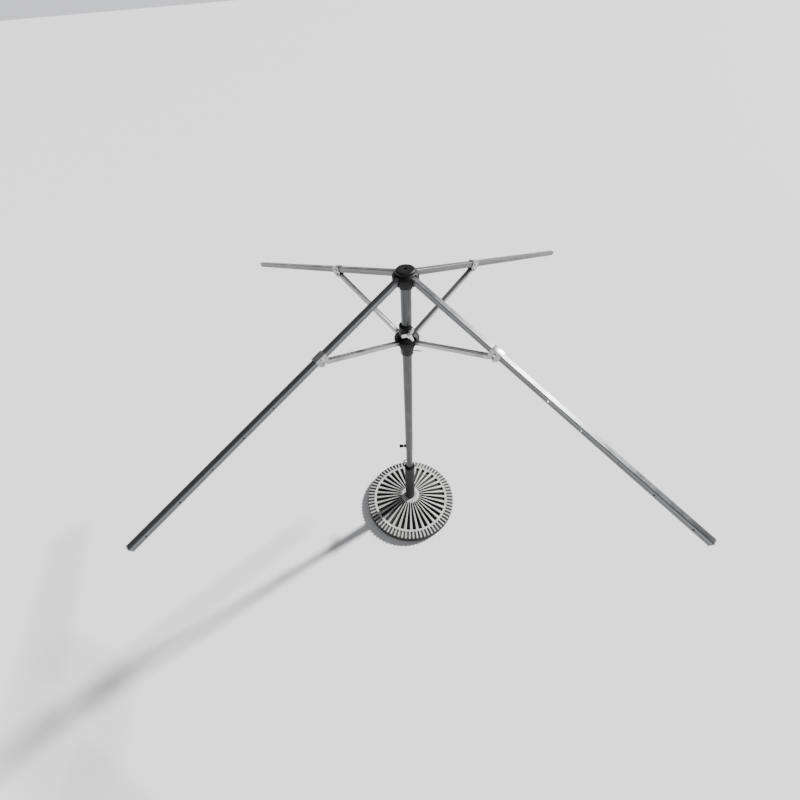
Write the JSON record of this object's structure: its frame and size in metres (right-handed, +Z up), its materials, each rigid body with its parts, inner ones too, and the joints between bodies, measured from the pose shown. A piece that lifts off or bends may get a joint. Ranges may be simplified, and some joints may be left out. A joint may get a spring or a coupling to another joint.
{
  "type": "rotary clothesline",
  "caption": "Folding rotary clothesline: drooping square arms braced by struts to a sliding collar, on a telescoping mast in a ribbed weighted stand.",
  "frame": {"origin": "on the floor, at the mast's axis, under the centre of the stand", "axes": "+Z up along the mast; the four arms point along +X, +Y, -X and -Y"},
  "size_m": [1.9866, 1.9866, 1.475],
  "materials": {
    "base_plastic": "matte",
    "concrete": "matte",
    "rubber_feet": "matte",
    "socket_paint": "satin",
    "black_plastic": "satin",
    "mast_metal": "satin",
    "arm_metal": "satin",
    "strut_metal": "satin",
    "zinc": "satin",
    "white_plastic": "satin",
    "grey_plastic": "satin",
    "brass": "satin",
    "dark_steel": "satin"
  },
  "bodies": {
    "stand": {"base_shell": "base_plastic", "base_ballast": "concrete", "base_feet": "rubber_feet", "socket_tube": "socket_paint", "socket_top_bush": "black_plastic", "socket_bottom_bush": "black_plastic", "socket_boss": "socket_paint"},
    "eye_screw": {"eye_screw": "dark_steel"},
    "lower_mast": {"lower_mast_tube": "mast_metal", "lower_mast_foot": "grey_plastic", "lower_mast_cap": "grey_plastic"},
    "upper_mast": {"upper_mast_tube": "mast_metal", "mast_clamp_boss": "mast_metal", "mast_top_plug": "grey_plastic", "top_hub": "black_plastic", "hub_screw": "zinc", "hub_pins": "zinc"},
    "mast_clamp": {"mast_clamp_screw": "zinc", "mast_clamp_knob": "black_plastic"},
    "collar": {"collar_body": "black_plastic", "collar_insert": "brass"},
    "star_knob": {"star_knob": "white_plastic", "star_knob_screw": "zinc"},
    "catch_pin": {"catch_pin": "zinc"},
    "arm_1": {"arm_tube_1": "arm_metal", "arm_cap_1": "grey_plastic", "arm_saddle_1": "zinc", "saddle_rivet_1": "zinc", "strut_bolt_1": "zinc"},
    "strut_1": {"strut_1": "strut_metal", "strut_pin_1": "zinc"},
    "arm_2": {"arm_tube_2": "arm_metal", "arm_cap_2": "grey_plastic", "arm_saddle_2": "zinc", "saddle_rivet_2": "zinc", "strut_bolt_2": "zinc"},
    "strut_2": {"strut_2": "strut_metal", "strut_pin_2": "zinc"},
    "arm_3": {"arm_tube_3": "arm_metal", "arm_cap_3": "grey_plastic", "arm_saddle_3": "zinc", "saddle_rivet_3": "zinc", "strut_bolt_3": "zinc"},
    "strut_3": {"strut_3": "strut_metal", "strut_pin_3": "zinc"},
    "arm_4": {"arm_tube_4": "arm_metal", "arm_cap_4": "grey_plastic", "arm_saddle_4": "zinc", "saddle_rivet_4": "zinc", "strut_bolt_4": "zinc"},
    "strut_4": {"strut_4": "strut_metal", "strut_pin_4": "zinc"}
  },
  "joints": [
    {"name": "mast_turn", "type": "hinge", "parent": "stand", "child": "lower_mast", "pos_m": [0, 0, 0.4], "axis": [0, 0, 1], "continuous": true},
    {"name": "mast_height", "type": "slide", "parent": "lower_mast", "child": "upper_mast", "axis": [0, 0, 1], "range_m": [-0.12, 0.25]},
    {"name": "collar_slide", "type": "slide", "parent": "upper_mast", "child": "collar", "axis": [0, 0, -1], "range_m": [0, 0.42456]},
    {"name": "arm_1_fold", "type": "hinge", "parent": "upper_mast", "child": "arm_1", "pos_m": [0.035, 0, 1.45], "axis": [0, 1, 0], "range_deg": [0, 66]},
    {"name": "arm_2_fold", "type": "hinge", "parent": "upper_mast", "child": "arm_2", "pos_m": [0, 0.035, 1.45], "axis": [-1, 0, 0], "range_deg": [0, 66]},
    {"name": "arm_3_fold", "type": "hinge", "parent": "upper_mast", "child": "arm_3", "pos_m": [-0.035, 0, 1.45], "axis": [0, -1, 0], "range_deg": [0, 66]},
    {"name": "arm_4_fold", "type": "hinge", "parent": "upper_mast", "child": "arm_4", "pos_m": [0, -0.035, 1.45], "axis": [1, 0, 0], "range_deg": [0, 66]},
    {"name": "strut_1_fold", "type": "hinge", "parent": "arm_1", "child": "strut_1", "pos_m": [0.34175, 0, 1.33546], "axis": [0, 1, 0], "range_deg": [-132, 0]},
    {"name": "strut_2_fold", "type": "hinge", "parent": "arm_2", "child": "strut_2", "pos_m": [0, 0.34175, 1.33546], "axis": [-1, 0, 0], "range_deg": [-132, 0]},
    {"name": "strut_3_fold", "type": "hinge", "parent": "arm_3", "child": "strut_3", "pos_m": [-0.34175, 0, 1.33546], "axis": [0, -1, 0], "range_deg": [-132, 0]},
    {"name": "strut_4_fold", "type": "hinge", "parent": "arm_4", "child": "strut_4", "pos_m": [0, -0.34175, 1.33546], "axis": [1, 0, 0], "range_deg": [-132, 0]},
    {"name": "star_knob_turn", "type": "hinge", "parent": "collar", "child": "star_knob", "pos_m": [-0.02181, -0.03233, 1.26391], "axis": [-0.5592, -0.829, 0], "range_deg": [-120, 120]},
    {"name": "mast_clamp_turn", "type": "hinge", "parent": "upper_mast", "child": "mast_clamp", "pos_m": [-0.01909, 0.01909, 0.572], "axis": [-0.7071, 0.7071, 0], "continuous": true},
    {"name": "eye_screw_turn", "type": "hinge", "parent": "stand", "child": "eye_screw", "pos_m": [0.01231, 0.03383, 0.362], "axis": [0.342, 0.9397, 0], "continuous": true},
    {"name": "catch_pull", "type": "slide", "parent": "collar", "child": "catch_pin", "axis": [0.5, -0.866, 0], "range_m": [0, 0.01], "stiffness_N_per_m": 300, "springref_m": -0.005}
  ],
  "couplings": [
    {"joint": "arm_1_fold", "follows": "collar_slide", "rad_per_m": 2.7132},
    {"joint": "arm_2_fold", "follows": "collar_slide", "rad_per_m": 2.7132},
    {"joint": "arm_3_fold", "follows": "collar_slide", "rad_per_m": 2.7132},
    {"joint": "arm_4_fold", "follows": "collar_slide", "rad_per_m": 2.7132},
    {"joint": "strut_1_fold", "follows": "collar_slide", "rad_per_m": -5.4264},
    {"joint": "strut_2_fold", "follows": "collar_slide", "rad_per_m": -5.4264},
    {"joint": "strut_3_fold", "follows": "collar_slide", "rad_per_m": -5.4264},
    {"joint": "strut_4_fold", "follows": "collar_slide", "rad_per_m": -5.4264}
  ]
}
